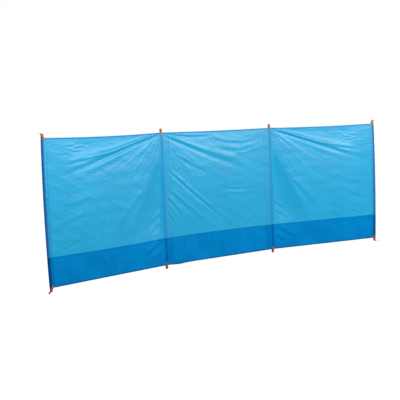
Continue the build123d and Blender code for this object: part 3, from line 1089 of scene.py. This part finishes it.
def cloth_material(name, colours, painted_shade_colour, painted_light_colour, see_through, roughness, gloss):
    """Thin woven polyester: mottled colour with painted shade and painted light mixed in, a plain
    weave's bump, and light that comes through."""
    material, tree, shader = new_material(name)
    place = cloth_place(tree)
    mottle = noise(tree, place, mottle_scale, 3.0)
    streaks = noise(tree, stretched(tree, place, streak_scales), 1.0, 4.0)
    shares = {0: streak_share, 2: mottle, 3: streaks}
    uneven = add_node(tree, "ShaderNodeMix", shares, data_type="FLOAT").outputs[0]
    colour = two_colours(tree, uneven, *colours, (0.3, 0.7))
    # Above 0 the attribute mixes in painted shade, below 0 painted light
    behind = add_node(tree, "ShaderNodeAttribute", {}, attribute_name="painted_light_and_shade").outputs["Fac"]
    with_painted_light = tinted(tree, calculated(tree, "MULTIPLY", behind, -1.0), colour, painted_light_colour)
    with_painted_shade = tinted(tree, behind, with_painted_light, painted_shade_colour)
    warp = waves(tree, place, "X", cloth_weave, 1.0)
    weft = waves(tree, place, "Y", cloth_weave, 1.0)
    normal = bumped(tree, calculated(tree, "MULTIPLY", warp, weft), 0.25, cloth_relief)
    connect(tree, shader, {
        "Base Color": with_painted_shade,
        "Roughness": ranged(tree, behind, roughness, 1.0),
        "Specular IOR Level": gloss,
        "Normal": normal,
    })
    glow = add_node(tree, "ShaderNodeBsdfTranslucent", {"Color": with_painted_shade, "Normal": normal})
    layers = {0: see_through, 1: shader.outputs[0], 2: glow.outputs[0]}
    both = add_node(tree, "ShaderNodeMixShader", layers).outputs[0]
    connect(tree, tree.nodes["Material Output"], {"Surface": both})
    return material


def webbing_material(name, dark, light):
    """Woven polypropylene webbing: ribs along the strap, crossed by picks, with painted shade in the
    grooves.
    """
    material, tree, shader = new_material(name)
    place = cloth_place(tree)
    ribs = waves(tree, place, "X", webbing_ribs, 0.3)
    picks = waves(tree, place, "Y", webbing_picks, 0.6)
    weave = calculated(tree, "ADD", ribs, picks)
    # Base colour: painted shade in the grooves of the weave
    connect(tree, shader, {
        "Base Color": two_colours(tree, calculated(tree, "MULTIPLY", weave, 0.5), dark, light),
        "Roughness": 0.7,
        "Specular IOR Level": 0.15,
        "Normal": bumped(tree, weave, 0.7, webbing_relief),
    })
    return material


def srgb(red, green, blue):
    """Linear colour of an sRGB one given out of 255."""
    levels = (red, green, blue)
    return tuple(((v / 255 + 0.055) / 1.055) ** 2.4 if v > 10 else v / 3294.6 for v in levels)


def streaked_material(name, dark, light, metallic, roughness, scales, scale):
    """Drawn or pultruded stock: fine streaks along the part in its colour and its roughness."""
    material, tree, shader = new_material(name)
    place = add_node(tree, "ShaderNodeTexCoord", {}).outputs["Object"]
    streaks = noise(tree, stretched(tree, place, scales), scale, 5.0)
    connect(tree, shader, {
        "Base Color": two_colours(tree, streaks, dark, light, (0.35, 0.65)),
        "Metallic": metallic,
        "Roughness": ranged(tree, streaks, roughness * 0.75, roughness * 1.25),
        "Normal": bumped(tree, streaks, 0.3, metal_relief),
    })
    return material


# Colours of painted shade and painted light that the cloth materials mix in; sleeve_cloth is light_cloth
# with the navy painted shade
navy_painted_shade = srgb(0, 93, 173)
azure_painted_shade = srgb(0, 126, 224)
dark_cloth_painted_shade = srgb(0, 68, 138)
light_cloth_painted_light = srgb(74, 206, 252)
dark_cloth_painted_light = srgb(0, 145, 225)
light_colours = (srgb(0, 160, 209), srgb(3, 171, 221))
dark_colours = (srgb(0, 120, 187), srgb(0, 148, 220))
# The hems: the same cloths, darker with painted shade
shaded_hem_colours = (srgb(0, 145, 213), srgb(3, 154, 223))
shaded_dark_hem_colours = (srgb(0, 78, 152), srgb(0, 93, 166))
light_cloth = cloth_material("light_cloth", light_colours, azure_painted_shade, light_cloth_painted_light, 0.18, 0.36, 0.43)
sleeve_cloth = cloth_material("sleeve_cloth", light_colours, navy_painted_shade, light_cloth_painted_light, 0.18, 0.36, 0.43)
dark_cloth = cloth_material("dark_cloth", dark_colours, dark_cloth_painted_shade, dark_cloth_painted_light, 0.18, 0.5, 0.03)
hem_cloth = cloth_material("hem_cloth", shaded_hem_colours, navy_painted_shade, light_cloth_painted_light, 0.1, 0.7, 0.3)
shaded_dark_hem_cloth = cloth_material("shaded_dark_hem_cloth", shaded_dark_hem_colours, dark_cloth_painted_shade, dark_cloth_painted_light, 0.1, 0.7, 0.05)
orange_webbing = webbing_material("orange_webbing", srgb(168, 98, 42), srgb(218, 136, 68))
# Bottom tabs and tails: the same webbing, darker with painted shade
shaded_webbing = webbing_material("shaded_webbing", srgb(152, 66, 24), srgb(200, 98, 44))
fibre_colours = (srgb(14, 17, 26), srgb(34, 38, 50))
steel_colours = (srgb(150, 152, 156), srgb(190, 192, 196))
brass_colours = (srgb(170, 128, 60), srgb(214, 174, 98))
glass_fibre = streaked_material("glass_fibre", *fibre_colours, 0.0, 0.32, (60, 60, 1), 12)
steel = streaked_material("steel", *steel_colours, 1.0, 0.34, (20, 20, 60), 10)
brass = streaked_material("brass", *brass_colours, 1.0, 0.3, (30, 30, 30), 12)


def kind_of(node):
    """A node's name without its number."""
    return node.rstrip("_0123456789")


def paint(piece, *materials):
    """Gives a piece its materials in place of those it has."""
    piece.data.materials.clear()
    for material in materials:
        piece.data.materials.append(material)


finishes = {
    "panel": light_cloth,
    "skirt": dark_cloth,
    "top_hem": hem_cloth,
    "bottom_hem": shaded_dark_hem_cloth,
    "sleeve": sleeve_cloth,
    "top_tab": orange_webbing,
    "bottom_tab": shaded_webbing,
}
for node, piece in pieces_by_node.items():
    paint(piece, finishes[kind_of(node)])
for piece in tails:
    paint(piece, shaded_webbing)
paint(tab_thread, orange_webbing)

# Where a piece crosses the seam, it turns dark below it
end_sleeves = [pieces_by_node["sleeve_1"], pieces_by_node[f"sleeve_{pole_count}"]]
for piece in threads + end_sleeves:
    paint(piece, light_cloth if piece in threads else sleeve_cloth, dark_cloth)
    for polygon in piece.data.polygons:
        polygon.material_index = 1 if polygon.center.z < seam_level else 0

# The metal and the poles of the frame
frame_finishes = {
    "pole": glass_fibre,
    "pole_foot": steel,
    "pole_tip": steel,
    "guy_ring": steel,
    "peg_ring": steel,
    "top_eyelets": brass,
    "bottom_eyelets": brass,
}
for node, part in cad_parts.items():
    finish = frame_finishes.get(kind_of(node))
    if finish:
        for slot in part.material_slots:
            slot.material = finish


# Floor, world and light
sky_strength = 0.187
floor_glow = 0.96
floor_grey = 0.25
floor_reach = 30
lamp_target = Vector((2.0, 0.2, 0.8))
lamp_size = (2.4, 1.4)
LAMPS = [
    ("left_box", (-0.8, -2.4, 3.2), 115),
    ("right_box", (5.0, -4.15, 2.4), 186),
]


def seen_level(tree, unseen, seen):
    """One level where a camera, mirror or glass ray looks at it, and another for all other light."""
    rays = add_node(tree, "ShaderNodeLightPath", {}).outputs
    look = calculated(tree, "MAXIMUM", rays["Is Camera Ray"], rays["Is Glossy Ray"])
    look = calculated(tree, "MAXIMUM", look, rays["Is Transmission Ray"])
    return ranged(tree, look, unseen, seen)


world = bpy.data.worlds.new("studio")
bpy.context.scene.world = world
world.use_nodes = True
sky = world.node_tree
sky_look = {"Color": (1, 1, 1, 1), "Strength": seen_level(sky, sky_strength, 1.0)}
connect(sky, sky.nodes["Background"], sky_look)

floor_corners = [(x * floor_reach, y * floor_reach, 0) for x, y in ((-1, -1), (1, -1), (1, 1), (-1, 1))]
floor = mesh_piece("floor", floor_corners, [(0, 1, 2, 3)])
floor_paint, floor_tree, floor_shader = new_material("floor_paint")
connect(floor_tree, floor_shader, {
    "Base Color": (floor_grey, floor_grey, floor_grey, 1),
    "Roughness": 0.9,
    "Specular IOR Level": 0.0,
    "Emission Color": (1, 1, 1, 1),
    "Emission Strength": seen_level(floor_tree, 0.0, floor_glow),
})
floor.data.materials.append(floor_paint)

for name, spot, power in LAMPS:
    lamp = bpy.data.lights.new(name, "AREA")
    lamp.shape = "RECTANGLE"
    lamp.size, lamp.size_y = lamp_size
    lamp.energy = power
    box = add_object(name, lamp)
    box.location = spot
    box.rotation_euler = (lamp_target - box.location).to_track_quat("-Z", "Y").to_euler()

# Camera, as fitted to the photograph
camera_spot = Vector((-2.397, -6.230, 1.388))
camera_yaw, camera_pitch, camera_roll = -0.569, -0.095, -0.041
focal_pixels = 760.1
picture_pixels = 400
sensor_width = 36
camera = add_object("camera", bpy.data.cameras.new("camera"))
camera.data.sensor_width = sensor_width
camera.data.lens = focal_pixels * sensor_width / picture_pixels
forward = Vector((
    -math.sin(camera_yaw) * math.cos(camera_pitch),
    math.cos(camera_yaw) * math.cos(camera_pitch),
    math.sin(camera_pitch),
))
level_right = Vector((math.cos(camera_yaw), math.sin(camera_yaw), 0))
level_up = level_right.cross(forward)
right = level_right * math.cos(camera_roll) + level_up * math.sin(camera_roll)
camera_up = level_up * math.cos(camera_roll) - level_right * math.sin(camera_roll)
turn = Matrix((right, camera_up, -forward)).transposed().to_4x4()
camera.matrix_world = Matrix.Translation(camera_spot) @ turn
bpy.context.scene.camera = camera
bpy.context.scene.view_settings.view_transform = "Standard"
